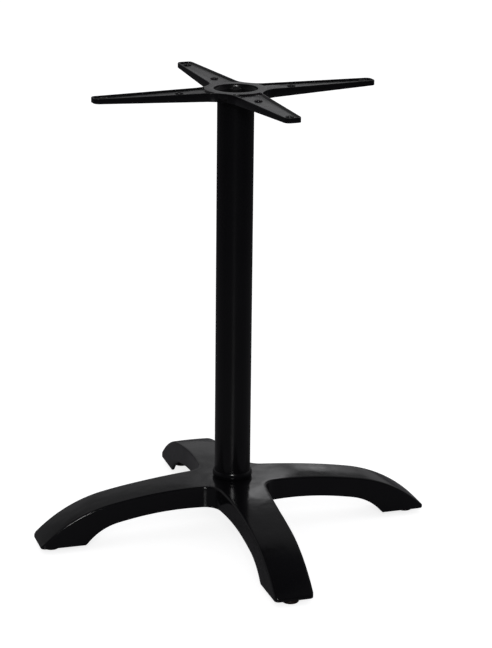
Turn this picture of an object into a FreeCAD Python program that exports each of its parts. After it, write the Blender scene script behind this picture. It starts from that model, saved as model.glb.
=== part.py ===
import FreeCAD, Part
import math
import os
import Sketcher

Vector = FreeCAD.Vector
Rotation = FreeCAD.Rotation
Placement = FreeCAD.Placement

# Every driving size of the table base, in millimetres and degrees.
# Z is up, the floor is at Z 0, the column stands on Z, and the legs run along X and Y.
SIZES = [
    # the whole base
    ("overall_height", 720.0),
    ("leg_reach", 320.0),
    ("foot_lift", 10.0),
    # plan of a leg: straight towards the tip, flaring towards the hub
    ("leg_tip_half", 30.5),
    ("leg_mid_half", 32.0),
    ("leg_mid_reach", 160.0),
    ("leg_flare_radius", 900.0),
    ("leg_corner_radius", 26.0),
    ("leg_tip_corner", 7.0),
    # side view of a leg: a long back and a rounded nose over a long arch and a heel
    ("casting_top", 91.0),
    ("nose_height", 4.3),
    ("back_flat", 35.0),
    ("back_angle", 11.0),
    ("nose_radius", 220.0),
    ("arch_height", 56.2),
    ("arch_flat", 65.7),
    ("foot_length", 72.0),
    ("arch_angle", 12.0),
    ("heel_radius", 89.0),
    # walls and ribs of the casting
    ("casting_wall", 4.5),
    ("casting_crown", 5.0),
    ("casting_round", 3.0),
    ("rib_thickness", 4.0),
    ("rib_depth", 14.0),
    ("hub_boss_radius", 35.0),
    ("hub_floor", 16.0),
    ("hub_well_radius", 19.0),
    # column tube, and the spigots of both castings that centre it
    ("tube_diameter", 57.0),
    ("tube_wall", 1.5),
    ("spigot_clearance", 0.15),
    ("spigot_height", 12.0),
    ("spigot_wall", 6.0),
    ("spigot_floor", 6.0),
    # collar round the foot of the tube: a sleeve on a half-round bead
    ("collar_clearance", 0.15),
    ("collar_sleeve", 1.2),
    ("collar_height", 12.0),
    ("collar_bead_radius", 2.8),
    ("collar_bead_inset", 1.65),
    ("collar_edge", 0.5),
    # spider: a round hub and four tapering arms, open on top and underneath
    ("spider_turn", 4.35),
    ("hub_radius", 48.7),
    ("arm_root_half", 22.8),
    ("arm_root_reach", 60.0),
    ("arm_tip_half", 12.4),
    ("arm_tip_margin", 18.0),
    ("arm_tip_corner", 8.0),
    ("hub_bare_angle", 4.0),
    ("hollow_corner_angle", 5.0),
    ("arm_root_depth", 13.6),
    ("arm_tip_depth", 7.6),
    ("arm_rim", 2.4),
    ("channel_depth", 2.6),
    ("web_thickness", 2.8),
    ("recess_radius", 33.8),
    ("recess_depth", 10.8),
    ("rim_chamfer", 0.6),
    # screw bosses of the spider
    ("inner_boss_reach", 91.5),
    ("outer_boss_reach", 211.0),
    ("boss_radius", 6.3),
    ("boss_height", 1.8),
    ("boss_chamfer", 1.0),
    ("screw_hole_radius", 2.75),
    # tie rod with its washers and nuts
    ("rod_diameter", 10.0),
    ("rod_clearance", 0.5),
    ("rod_top_drop", 1.2),
    ("rod_overhang", 3.0),
    ("rod_chamfer", 1.0),
    ("thread_clearance", 0.03),
    ("nut_across", 17.0),
    ("nut_height", 8.0),
    ("nut_chamfer", 1.0),
    ("washer_radius", 15.0),
    ("washer_thickness", 2.5),
    ("spring_radius", 9.0),
    ("spring_thickness", 2.2),
    ("spring_gap", 2.0),
    # glides: a pad moulded on the head of a threaded stud
    ("glide_inset", 22.0),
    ("glide_boss_radius", 11.0),
    ("glide_gap", 0.5),
    ("pad_radius", 13.2),
    ("pad_bottom_chamfer", 1.6),
    ("pad_top_chamfer", 0.8),
    ("stud_diameter", 8.0),
    ("stud_clearance", 0.05),
    ("stud_reach", 13.0),
    ("stud_end_gap", 1.5),
    ("stud_head_radius", 8.0),
    ("stud_head_height", 2.5),
    ("stud_head_lift", 3.0),
]

QUARTERS = range(4)


def make_sheet(doc):
    """The spreadsheet that drives the document: one row and one alias for each size."""
    sheet = doc.addObject("Spreadsheet::Sheet", "Sizes")
    for row, (alias, value) in enumerate(SIZES, start=1):
        sheet.set("A%d" % row, alias)
        sheet.set("B%d" % row, str(value))
        sheet.setAlias("B%d" % row, alias)
    doc.recompute()
    return sheet


class SheetValues:
    """The sizes read back from the sheet, for the outlines that are worked out point by point."""

    def __init__(self, sheet):
        for alias, _ in SIZES:
            setattr(self, alias, float(sheet.get(alias)))


# Plane geometry: an outline is a list of lines and arcs, each a kind and its points

def line(start, end):
    return ("line", start, end)


def arc(start, middle, end):
    return ("arc", start, middle, end)


def polar(centre, radius, degrees):
    angle = math.radians(degrees)
    return (centre[0] + radius * math.cos(angle), centre[1] + radius * math.sin(angle))


def direction(start, end):
    return math.degrees(math.atan2(end[1] - start[1], end[0] - start[0])) % 360.0


def arc_round(centre, radius, start_degrees, end_degrees):
    """The arc from one direction to another, by the shorter way when they are given in order."""
    middle = (start_degrees + end_degrees) / 2.0
    return arc(polar(centre, radius, start_degrees), polar(centre, radius, middle),
               polar(centre, radius, end_degrees))


def backwards(outline):
    return [(piece[0],) + piece[:0:-1] for piece in reversed(outline)]


def moved(outline, rule):
    return [(piece[0],) + tuple(rule(point) for point in piece[1:]) for piece in outline]


def mirrored_down(outline):
    return moved(outline, lambda point: (point[0], -point[1]))


def mirrored_across(outline):
    return moved(outline, lambda point: (-point[0], point[1]))


def turned(outline, degrees):
    cosine = math.cos(math.radians(degrees))
    sine = math.sin(math.radians(degrees))
    return moved(outline, lambda point: (point[0] * cosine - point[1] * sine,
                                         point[0] * sine + point[1] * cosine))


def first_point(outline):
    return outline[0][1]


def last_point(outline):
    return outline[-1][-1]


# Document objects

def plan_place(height=0.0):
    return Placement(Vector(0, 0, height), Rotation())


def side_place(degrees):
    """Stands a sketch up: its X runs outwards at the angle and its Y runs upwards."""
    upright = Rotation(Vector(1, 0, 0), 90)
    return Placement(Vector(0, 0, 0), Rotation(Vector(0, 0, 1), degrees).multiply(upright))


def clockwise(piece):
    """Arcs in a sketch run anticlockwise, so the ends of a clockwise one change places."""
    if piece[0] == "line":
        return False
    start, middle, end = piece[1:]
    turn = ((middle[0] - start[0]) * (end[1] - start[1])
            - (middle[1] - start[1]) * (end[0] - start[0]))
    return turn < 0.0


def make_sketch(doc, name, outline, place):
    edges = []
    ends = []
    for piece in outline:
        points = [Vector(point[0], point[1], 0) for point in piece[1:]]
        if piece[0] == "line":
            edges.append(Part.LineSegment(*points))
        else:
            edges.append(Part.Arc(*points))
        ends.append((2, 1) if clockwise(piece) else (1, 2))
    sketch = doc.addObject("Sketcher::SketchObject", name)
    sketch.Placement = place
    sketch.addGeometry(edges, False)
    joints = []
    for number in range(len(edges)):
        following = (number + 1) % len(edges)
        joints.append(Sketcher.Constraint("Coincident", number, ends[number][1],
                                          following, ends[following][0]))
    sketch.addConstraint(joints)
    return sketch


def extrude(doc, name, sketch, length, symmetric=False, foot=None):
    """A prism on a sketch, with its length and the height of its foot bound to the sheet."""
    prism = doc.addObject("Part::Extrusion", name)
    prism.Base = sketch
    prism.DirMode = "Normal"
    prism.Solid = True
    prism.Symmetric = symmetric
    prism.setExpression("LengthFwd", length)
    if foot is not None:
        sketch.setExpression("Placement.Base.z", foot)
    return prism


def cylinder(doc, name, radius, height, foot, reach=None, quarter=0):
    """An upright cylinder with radius, height, foot and place in plan bound to the sheet."""
    solid = doc.addObject("Part::Cylinder", name)
    solid.setExpression("Radius", radius)
    solid.setExpression("Height", height)
    solid.setExpression("Placement.Base.z", foot)
    if reach is not None:
        solid.setExpression("Placement.Base.x", "(%s) * cos(%d deg)" % (reach, 90 * quarter))
        solid.setExpression("Placement.Base.y", "(%s) * sin(%d deg)" % (reach, 90 * quarter))
    return solid


def fuse(doc, name, shapes):
    result = doc.addObject("Part::MultiFuse", name)
    result.Shapes = shapes
    result.Refine = True
    return result


def common(doc, name, shapes):
    result = doc.addObject("Part::MultiCommon", name)
    result.Shapes = shapes
    return result


def cut(doc, name, base, tool):
    result = doc.addObject("Part::Cut", name)
    result.Base = base
    result.Tool = tool
    result.Refine = True
    return result


def upward(face, point):
    """The upward share of the face's normal at a point of it."""
    across, along = face.Surface.parameter(point)
    return face.normalAt(across, along).z


def edge_middle(edge):
    return edge.valueAt((edge.FirstParameter + edge.LastParameter) / 2.0)


def work_edges(doc, name, kind, base, size, wanted):
    """Fillets or chamfers the edges of base that pass the test on an edge's middle and two faces."""
    doc.recompute()
    shape = base.Shape
    chosen = []
    for number, edge in enumerate(shape.Edges, start=1):
        faces = shape.ancestorsOfType(edge, Part.Face)
        if len(faces) == 2 and wanted(edge_middle(edge), faces):
            chosen.append((number, size, size))
    result = doc.addObject(kind, name)
    result.Base = base
    result.Edges = chosen
    return result


def ring_body(doc, name, outer, inner, height, foot):
    """A flat or tall ring as a body: two circles on its own ground plane, padded upwards."""
    body = doc.addObject("PartDesign::Body", name)
    planes = [item for item in body.Origin.OriginFeatures if item.Role == "XY_Plane"]
    sketch = body.newObject("Sketcher::SketchObject", name + "_circles")
    sketch.AttachmentSupport = (planes[0], [""])
    sketch.MapMode = "FlatFace"
    upright = Vector(0, 0, 1)
    for number, (radius, label, start) in enumerate([(outer, "outer", 2.0), (inner, "inner", 1.0)]):
        sketch.addGeometry(Part.Circle(Vector(0, 0, 0), upright, start), False)
        sketch.addConstraint(Sketcher.Constraint("Coincident", number, 3, -1, 1))
        place = sketch.addConstraint(Sketcher.Constraint("Radius", number, start))
        sketch.renameConstraint(place, label)
        sketch.setExpression("Constraints." + label, radius)
    pad = body.newObject("PartDesign::Pad", name + "_pad")
    pad.Profile = sketch
    pad.setExpression("Length", height)
    body.Tip = pad
    body.setExpression("Placement.Base.z", foot)
    return body


# Levels that several pieces share, as expressions in the sheet's aliases
FOOT = "Sizes.foot_lift"
TUBE_FOOT = "Sizes.casting_top"
TUBE_HEAD = "Sizes.overall_height - Sizes.arm_root_depth"
WELL_TOP = "Sizes.casting_top - Sizes.hub_floor"
ROD_FOOT = WELL_TOP + (" - Sizes.washer_thickness - Sizes.spring_thickness"
                       " - Sizes.nut_height - Sizes.rod_overhang")
RECESS_FLOOR = "Sizes.overall_height - Sizes.recess_depth"
TUBE_BORE = "Sizes.tube_diameter / 2 - Sizes.tube_wall"
ROD_HOLE = "(Sizes.rod_diameter + Sizes.rod_clearance * 2) / 2"
NUT_BORE = "Sizes.rod_diameter / 2 + Sizes.thread_clearance"


# Base casting

def leg_plan(size, inset):
    """Closed plan of the four legs, drawn in by inset: sides, flares, corners and tips."""
    reach = size.leg_reach - inset
    tip_half = size.leg_tip_half - inset
    mid = (size.leg_mid_reach, size.leg_mid_half - inset)
    corner = size.leg_tip_corner - min(inset, size.leg_tip_corner / 2.0)
    flare = size.leg_flare_radius + inset
    fillet = size.leg_corner_radius + inset
    lean = math.degrees(math.atan2(mid[1] - tip_half, size.leg_reach - size.leg_mid_reach))
    # the flare's circle touches the straight side where the flare begins
    flare_centre = polar(mid, flare, 90.0 - lean)
    # the fillet's centre lies on the diagonal, inside the flare's circle
    total = flare_centre[0] + flare_centre[1]
    product = flare_centre[0] ** 2 + flare_centre[1] ** 2 - (flare - fillet) ** 2
    middle = (total - math.sqrt(total ** 2 - 2.0 * product)) / 2.0
    join_angle = direction(flare_centre, (middle, middle))
    # the tip's corner touches the straight side and the end face
    corner_x = reach - corner
    side_y = mid[1] - (corner_x - mid[0]) * math.tan(math.radians(lean))
    corner_centre = (corner_x, side_y - corner / math.cos(math.radians(lean)))
    tip_corner = arc_round(corner_centre, corner, 90.0 - lean, 0.0)
    upper = [
        arc_round(flare_centre, flare, join_angle, 270.0 - lean),
        line(mid, tip_corner[1]),
        tip_corner,
    ]
    lower = mirrored_down(upper)
    join = first_point(upper)
    between = arc(join, polar((middle, middle), fillet, 225.0), (join[1], join[0]))
    leg = lower + [line(last_point(lower), last_point(upper))] + backwards(upper) + [between]
    outline = []
    for quarter in QUARTERS:
        outline.extend(turned(leg, 90.0 * quarter))
    return outline


def two_arcs(start, end, long_angle, short_radius, sink):
    """Half a leg's side curve: a long arc that is level at its start, then a tighter one to the end.

    The long arc turns by its angle and gets the radius that brings the second arc to the end point.
    Both arcs keep their centres when the curve is sunk inwards by sink.
    """
    bend = math.radians(long_angle)
    away = (end[0] - start[0] + short_radius * math.sin(bend),
            end[1] - start[1] + short_radius * math.cos(bend))
    growth = (math.sin(bend), math.cos(bend) - 1.0)
    along = away[0] * growth[0] + away[1] * growth[1]
    spread = growth[0] ** 2 + growth[1] ** 2
    rest = away[0] ** 2 + away[1] ** 2 - short_radius ** 2
    long_radius = (along - math.sqrt(along ** 2 - spread * rest)) / spread
    long_centre = (start[0], start[1] - long_radius)
    short_centre = polar(long_centre, long_radius - short_radius, 90.0 - long_angle)
    end_angle = math.degrees(math.asin((end[1] - short_centre[1]) / (short_radius - sink)))
    return [
        arc_round(long_centre, long_radius - sink, 90.0, 90.0 - long_angle),
        arc_round(short_centre, short_radius - sink, 90.0 - long_angle, end_angle),
    ]


def back_curve(size, sink):
    start = (size.back_flat, size.casting_top)
    tip = (size.leg_reach, size.foot_lift + size.nose_height)
    return two_arcs(start, tip, size.back_angle, size.nose_radius, sink)


def arch_curve(size):
    start = (size.arch_flat, size.arch_height)
    heel = (size.leg_reach - size.foot_length, size.foot_lift)
    return two_arcs(start, heel, size.arch_angle, size.heel_radius, 0.0)


def under_curve(half):
    """Closes the area under a half curve and its mirror image, down to the floor."""
    level = line(first_point(mirrored_across(half)), first_point(half))
    right = last_point(half)
    right_foot = (right[0], 0.0)
    left_foot = (-right[0], 0.0)
    left = (-right[0], right[1])
    return (backwards(mirrored_across(half)) + [level] + half
            + [line(right, right_foot), line(right_foot, left_foot), line(left_foot, left)])


def base_casting(doc, size):
    """One cast piece: four hollow legs, open underneath, with a hub boss, ribs and foot bosses."""
    plan = make_sketch(doc, "leg_plan", leg_plan(size, 0.0), plan_place())
    prism = extrude(doc, "leg_prism", plan, "Sizes.casting_top - Sizes.foot_lift", foot=FOOT)
    inner_plan = make_sketch(doc, "core_plan", leg_plan(size, size.casting_wall), plan_place())
    core_prism = extrude(doc, "core_prism", inner_plan, "Sizes.casting_top")
    arch = arch_curve(size)
    rib_top = back_curve(size, size.casting_crown / 2.0)
    rib_foot = back_curve(size, size.casting_crown + size.rib_depth)
    backs = []
    cores = []
    arches = []
    ribs = []
    for side, degrees in (("x", 0.0), ("y", 90.0)):
        place = side_place(degrees)
        back = make_sketch(doc, "back_" + side, under_curve(back_curve(size, 0.0)), place)
        backs.append(extrude(doc, "back_prism_" + side, back, "Sizes.leg_reach * 2", True))
        core = make_sketch(doc, "core_" + side, under_curve(back_curve(size, size.casting_crown)), place)
        cores.append(extrude(doc, "core_side_" + side, core, "Sizes.leg_reach * 2", True))
        opening = make_sketch(doc, "arch_" + side, under_curve(arch), place)
        arches.append(extrude(doc, "arch_prism_" + side, opening,
                              "Sizes.leg_mid_half * 2 + Sizes.leg_corner_radius * 1.5", True))
        outer = backwards(mirrored_across(rib_top))
        outer += [line(first_point(mirrored_across(rib_top)), first_point(rib_top))] + rib_top
        inner = backwards(mirrored_across(rib_foot))
        inner += [line(first_point(mirrored_across(rib_foot)), first_point(rib_foot))] + rib_foot
        outline = outer + [line(last_point(outer), last_point(inner))] + backwards(inner)
        outline += [line(first_point(inner), first_point(outer))]
        rib = make_sketch(doc, "rib_" + side, outline, place)
        ribs.append(extrude(doc, "rib_prism_" + side, rib, "Sizes.rib_thickness", True))
    block = common(doc, "leg_block", [prism, common(doc, "back_vault", backs)])
    smooth = work_edges(doc, "leg_smooth", "Part::Fillet", block, size.casting_round,
                        lambda middle, faces: is_top_edge(middle, faces, size.foot_lift))
    arched = cut(doc, "leg_arched", smooth, fuse(doc, "arch_both", arches))
    core = common(doc, "leg_core", [core_prism, common(doc, "core_vault", cores)])
    shell = cut(doc, "leg_shell", arched, core)
    ribs_inside = common(doc, "ribs_inside", [fuse(doc, "rib_cross", ribs), core_prism])
    bosses = []
    for quarter in QUARTERS:
        bosses.append(cylinder(doc, "foot_boss_%d" % (quarter + 1), "Sizes.glide_boss_radius",
                               "Sizes.casting_top - Sizes.foot_lift", FOOT,
                               "Sizes.leg_reach - Sizes.glide_inset", quarter))
    bosses_inside = common(doc, "foot_bosses", [fuse(doc, "foot_boss_set", bosses), smooth])
    hub = cylinder(doc, "hub_boss", "Sizes.hub_boss_radius",
                   "Sizes.casting_top - Sizes.arch_height", "Sizes.arch_height")
    spigot = cylinder(doc, "casting_spigot", TUBE_BORE + " - Sizes.spigot_clearance",
                      "Sizes.spigot_height + Sizes.hub_floor / 2",
                      "Sizes.casting_top - Sizes.hub_floor / 2")
    solid = fuse(doc, "casting_solid", [shell, ribs_inside, bosses_inside, hub, spigot])
    holes = [
        cylinder(doc, "hub_well", "Sizes.hub_well_radius", WELL_TOP, "0"),
        cylinder(doc, "casting_rod_hole", ROD_HOLE, "Sizes.overall_height", "0"),
        cylinder(doc, "casting_spigot_bore",
                 TUBE_BORE + " - Sizes.spigot_clearance - Sizes.spigot_wall",
                 "Sizes.spigot_height * 2", TUBE_FOOT),
    ]
    for quarter in QUARTERS:
        holes.append(cylinder(doc, "stud_hole_%d" % (quarter + 1),
                              "Sizes.stud_diameter / 2 + Sizes.stud_clearance",
                              "Sizes.foot_lift + Sizes.stud_reach + Sizes.stud_end_gap", "0",
                              "Sizes.leg_reach - Sizes.glide_inset", quarter))
    return cut(doc, "base_casting", solid, fuse(doc, "casting_holes", holes))


def is_top_edge(middle, faces, foot):
    """True for an edge between a side wall and the top of the legs."""
    lifts = sorted(abs(upward(face, middle)) for face in faces)
    return lifts[0] < 0.05 and lifts[1] > 0.3 and middle.z > foot + 0.5


# Column

def column_tube(doc):
    return ring_body(doc, "column_tube", "Sizes.tube_diameter / 2", TUBE_BORE,
                     TUBE_HEAD + " - " + TUBE_FOOT, TUBE_FOOT)


def column_collar(doc, size):
    """The ring that hides the joint: a half-round bead on the casting and a thin sleeve above it."""
    bore = "Sizes.tube_diameter / 2 + Sizes.collar_clearance"
    sleeve = cylinder(doc, "collar_sleeve", bore + " + Sizes.collar_sleeve",
                      "Sizes.collar_height", TUBE_FOOT)
    bead = doc.addObject("Part::Torus", "collar_bead")
    bead.setExpression("Radius1", bore + " + Sizes.collar_bead_inset")
    bead.setExpression("Radius2", "Sizes.collar_bead_radius")
    bead.setExpression("Placement.Base.z", TUBE_FOOT + " + Sizes.collar_bead_radius")
    core = cylinder(doc, "collar_bead_core", bore + " + Sizes.collar_bead_inset",
                    "Sizes.collar_bead_radius * 2", TUBE_FOOT)
    solid = fuse(doc, "collar_solid", [sleeve, bead, core])
    top = size.casting_top + size.collar_height
    smooth = work_edges(doc, "collar_smooth", "Part::Chamfer", solid, size.collar_edge,
                        lambda middle, faces: middle.z > top - 0.01)
    hole = cylinder(doc, "collar_bore", bore, "Sizes.collar_height * 2", TUBE_FOOT)
    return cut(doc, "column_collar", smooth, hole)


# Top spider

def arm_reach(size):
    return size.outer_boss_reach + size.arm_tip_margin


def arm_lean(size):
    run = arm_reach(size) - size.arm_root_reach
    return math.degrees(math.atan2(size.arm_root_half - size.arm_tip_half, run))


def arm_side(size, inset):
    """The upper side of an arm from its tip corner's start, drawn in by inset, with the corner."""
    lean = arm_lean(size)
    reach = arm_reach(size) - inset
    corner = max(size.arm_tip_corner - inset, 1.0)
    # distance of the side from the axis, square to the side
    off = polar((0.0, 0.0), 1.0, 90.0 - lean)
    gap = off[0] * size.arm_root_reach + off[1] * size.arm_root_half - inset
    corner_x = reach - corner
    corner_y = (gap - corner - off[0] * corner_x) / off[1]
    tip_corner = arc_round((corner_x, corner_y), corner, 90.0 - lean, 0.0)
    return gap, tip_corner


def arm_sweep(size):
    """Centre, radius and hub angle of the round in which the sides of two arms meet. It touches
    both, and leaves only a short piece of the hub's edge bare between it and the next."""
    lean = arm_lean(size)
    gap = arm_side(size, 0.0)[0]
    share = math.sin(math.radians(45.0 - size.hub_bare_angle / 2.0 + lean))
    radius = max((size.hub_radius * share - gap) / (1.0 - share), size.arm_rim)
    centre = on_side(gap + radius, lean, size.hub_radius + radius)
    return centre, radius, direction((0.0, 0.0), centre)


def on_side(gap, lean, distance):
    """The point of a side line at a given distance from the axis."""
    foot = polar((0.0, 0.0), gap, 90.0 - lean)
    run = math.sqrt(distance ** 2 - gap ** 2)
    return polar(foot, run, -lean)


def spider_plan(size):
    """Closed plan of the spider: hub, the rounds between the arms, arms and tips."""
    tip_corner = arm_side(size, 0.0)[1]
    centre, radius, hub_angle = arm_sweep(size)
    sweep = arc_round(centre, radius, hub_angle + 180.0, 270.0 - arm_lean(size))
    upper = [sweep, line(last_point([sweep]), tip_corner[1]), tip_corner]
    lower = mirrored_down(upper)
    between = arc_round((0.0, 0.0), size.hub_radius, hub_angle, 90.0 - hub_angle)
    arm = lower + [line(last_point(lower), last_point(upper))] + backwards(upper) + [between]
    outline = []
    for quarter in QUARTERS:
        outline.extend(turned(arm, 90.0 * quarter))
    return outline


def channel_plan(size, quarter):
    """Closed plan of the hollow of one arm, from the hub's ring to the tip."""
    tip_corner = arm_side(size, size.arm_rim)[1]
    centre, radius, hub_angle = arm_sweep(size)
    # the hollow's side keeps the rim's width from the arm's side, in as far as the hub's ring
    radius, away = radius + size.arm_rim, math.hypot(*centre)
    ring_run = (away ** 2 + size.hub_radius ** 2 - radius ** 2) / (2.0 * away)
    # the sharp corner between that side and the ring is left filled
    filled = math.degrees(math.acos(ring_run / size.hub_radius)) + size.hollow_corner_angle
    root = polar((0.0, 0.0), size.hub_radius, hub_angle - filled)
    square = away * math.sin(math.radians(filled))
    start_run = away * math.cos(math.radians(filled)) - math.sqrt(radius ** 2 - square ** 2)
    start = polar((0.0, 0.0), start_run, hub_angle - filled)
    sweep = arc_round(centre, radius, direction(centre, start), 270.0 - arm_lean(size))
    upper = [line(root, start), sweep, line(last_point([sweep]), tip_corner[1]), tip_corner]
    lower = mirrored_down(upper)
    closing = arc(root, (size.hub_radius, 0.0), (root[0], -root[1]))
    hollow = lower + [line(last_point(lower), last_point(upper))] + backwards(upper) + [closing]
    return turned(hollow, 90.0 * quarter)


def arm_slope(size):
    """Side view of what is cut away under an arm, which gets shallower towards its tip."""
    root = (size.hub_radius, size.overall_height - size.arm_root_depth)
    tip = (arm_reach(size), size.overall_height - size.arm_tip_depth)
    low_tip = (tip[0] + size.arm_rim, root[1] - size.arm_rim)
    low_root = (root[0], low_tip[1])
    high_tip = (low_tip[0], tip[1])
    return [line(root, tip), line(tip, high_tip), line(high_tip, low_tip),
            line(low_tip, low_root), line(low_root, root)]


def top_spider(doc, size):
    """One cast piece: hub with nut recess and tube spigot, four channel arms with screw bosses."""
    plan = make_sketch(doc, "spider_plan", spider_plan(size), plan_place())
    block = extrude(doc, "spider_block", plan, "Sizes.arm_root_depth", foot=TUBE_HEAD)
    hollows = []
    for quarter in QUARTERS:
        number = quarter + 1
        slope = make_sketch(doc, "arm_slope_%d" % number, arm_slope(size), side_place(90.0 * quarter))
        hollows.append(extrude(doc, "arm_slope_cut_%d" % number, slope, "Sizes.hub_radius * 2", True))
        channel = make_sketch(doc, "channel_%d" % number, channel_plan(size, quarter), plan_place())
        hollows.append(extrude(doc, "channel_cut_%d" % number, channel, "Sizes.channel_depth * 2",
                               foot="Sizes.overall_height - Sizes.channel_depth"))
        under = make_sketch(doc, "under_%d" % number, channel_plan(size, quarter), plan_place())
        hollows.append(extrude(doc, "under_cut_%d" % number, under,
                               "Sizes.arm_root_depth - Sizes.channel_depth - Sizes.web_thickness",
                               foot=TUBE_HEAD))
    hollows.append(cylinder(doc, "nut_recess", "Sizes.recess_radius",
                            "Sizes.recess_depth * 2", RECESS_FLOOR))
    open_block = cut(doc, "spider_open", block, fuse(doc, "spider_hollows", hollows))
    smooth = work_edges(doc, "spider_smooth", "Part::Chamfer", open_block, size.rim_chamfer,
                        lambda middle, faces: middle.z > size.overall_height - 0.01)
    bosses = []
    holes = []
    boss_foot = "Sizes.overall_height - Sizes.channel_depth - Sizes.web_thickness"
    for ring, reach in (("inner", "Sizes.inner_boss_reach"), ("outer", "Sizes.outer_boss_reach")):
        for quarter in QUARTERS:
            name = "%s_boss_%d" % (ring, quarter + 1)
            boss = cylinder(doc, name, "Sizes.boss_radius", "Sizes.web_thickness + Sizes.boss_height",
                            boss_foot, reach, quarter)
            top = size.overall_height - size.channel_depth + size.boss_height
            bosses.append(work_edges(doc, name + "_edge", "Part::Chamfer", boss, size.boss_chamfer,
                                     lambda middle, faces: middle.z > top - 0.01))
            holes.append(cylinder(doc, name + "_hole", "Sizes.screw_hole_radius",
                                  "Sizes.arm_root_depth * 2", TUBE_HEAD, reach, quarter))
    spigot_radius = TUBE_BORE + " - Sizes.spigot_clearance"
    spigot = cylinder(doc, "spider_spigot", spigot_radius, "Sizes.spigot_height + 1",
                      TUBE_HEAD + " - Sizes.spigot_height")
    solid = fuse(doc, "spider_solid", [smooth, spigot] + bosses)
    holes.append(cylinder(doc, "spider_spigot_bore", spigot_radius + " - Sizes.spigot_wall",
                          "Sizes.spigot_height * 2 - Sizes.spigot_floor",
                          TUBE_HEAD + " - Sizes.spigot_height * 2"))
    holes.append(cylinder(doc, "spider_rod_hole", ROD_HOLE, "Sizes.overall_height", "0"))
    spider = cut(doc, "top_spider", solid, fuse(doc, "spider_holes", holes))
    spider.Placement = Placement(Vector(0, 0, 0), Rotation(Vector(0, 0, 1), size.spider_turn))
    return spider


# Tie rod, washers and nuts

def tie_rod(doc, size):
    bar = cylinder(doc, "rod_bar", "Sizes.rod_diameter / 2",
                   "Sizes.overall_height - Sizes.rod_top_drop - (" + ROD_FOOT + ")", ROD_FOOT)
    doc.recompute()
    ends = [number for number, edge in enumerate(bar.Shape.Edges, start=1) if edge.Closed]
    rod = doc.addObject("Part::Chamfer", "tie_rod")
    rod.Base = bar
    rod.Edges = [(number, size.rod_chamfer, size.rod_chamfer) for number in ends]
    return rod


def hex_nut(doc, size, name, foot):
    """A hexagon with its corners turned off at both ends, and its thread bored out."""
    corner_radius = "Sizes.nut_across / sqrt(3)"
    hexagon = doc.addObject("Part::Prism", name + "_hexagon")
    hexagon.Polygon = 6
    hexagon.setExpression("Circumradius", corner_radius)
    hexagon.setExpression("Height", "Sizes.nut_height")
    hexagon.setExpression("Placement.Base.z", foot)
    blank = cylinder(doc, name + "_blank", corner_radius, "Sizes.nut_height", foot)
    doc.recompute()
    ends = [number for number, edge in enumerate(blank.Shape.Edges, start=1) if edge.Closed]
    turning = doc.addObject("Part::Chamfer", name + "_turning")
    turning.Base = blank
    turning.Edges = [(number, size.nut_chamfer / 2.0, size.nut_chamfer) for number in ends]
    solid = common(doc, name + "_solid", [hexagon, turning])
    bore = cylinder(doc, name + "_bore", NUT_BORE, "Sizes.nut_height", foot)
    return cut(doc, name, solid, bore)


def spring_washer(doc, name, foot):
    """A split ring."""
    ring = cylinder(doc, name + "_ring", "Sizes.spring_radius", "Sizes.spring_thickness", foot)
    bore = cylinder(doc, name + "_bore", ROD_HOLE, "Sizes.spring_thickness", foot)
    split = doc.addObject("Part::Box", name + "_split")
    split.setExpression("Length", "Sizes.spring_radius * 2")
    split.setExpression("Width", "Sizes.spring_gap")
    split.setExpression("Height", "Sizes.spring_thickness")
    split.setExpression("Placement.Base.y", "-Sizes.spring_gap / 2")
    split.setExpression("Placement.Base.z", foot)
    return cut(doc, name, ring, fuse(doc, name + "_removed", [bore, split]))


def fastenings(doc, size):
    """Everything on the tie rod, from the recess in the spider down to the well in the casting."""
    top_washer = ring_body(doc, "top_washer", "Sizes.washer_radius", ROD_HOLE,
                           "Sizes.washer_thickness", RECESS_FLOOR)
    top_nut = hex_nut(doc, size, "top_nut", RECESS_FLOOR + " + Sizes.washer_thickness")
    washer_foot = WELL_TOP + " - Sizes.washer_thickness"
    bottom_washer = ring_body(doc, "bottom_washer", "Sizes.washer_radius", ROD_HOLE,
                              "Sizes.washer_thickness", washer_foot)
    spring_foot = washer_foot + " - Sizes.spring_thickness"
    spring = spring_washer(doc, "bottom_spring_washer", spring_foot)
    bottom_nut = hex_nut(doc, size, "bottom_nut", spring_foot + " - Sizes.nut_height")
    return [tie_rod(doc, size), top_washer, top_nut, bottom_washer, spring, bottom_nut]


# Glides

def glide(doc, size, quarter):
    """A stud with a round head, and the pad that is moulded on it."""
    number = quarter + 1
    reach = "Sizes.leg_reach - Sizes.glide_inset"
    head = cylinder(doc, "stud_head_%d" % number, "Sizes.stud_head_radius", "Sizes.stud_head_height",
                    "Sizes.stud_head_lift", reach, quarter)
    stem = cylinder(doc, "stud_stem_%d" % number, "Sizes.stud_diameter / 2",
                    "Sizes.foot_lift + Sizes.stud_reach - Sizes.stud_head_lift",
                    "Sizes.stud_head_lift", reach, quarter)
    stud = fuse(doc, "glide_stud_%d" % number, [head, stem])
    disc = cylinder(doc, "pad_disc_%d" % number, "Sizes.pad_radius", "Sizes.foot_lift - Sizes.glide_gap",
                    "0", reach, quarter)
    low = work_edges(doc, "pad_low_%d" % number, "Part::Chamfer", disc, size.pad_bottom_chamfer,
                     lambda middle, faces: middle.z < 0.01)
    pad_top = size.foot_lift - size.glide_gap
    edged = work_edges(doc, "pad_edged_%d" % number, "Part::Chamfer", low, size.pad_top_chamfer,
                       lambda middle, faces: middle.z > pad_top - 0.01)
    pad = cut(doc, "glide_pad_%d" % number, edged, stud)
    return [pad, stud]


# Checks and export

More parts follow.
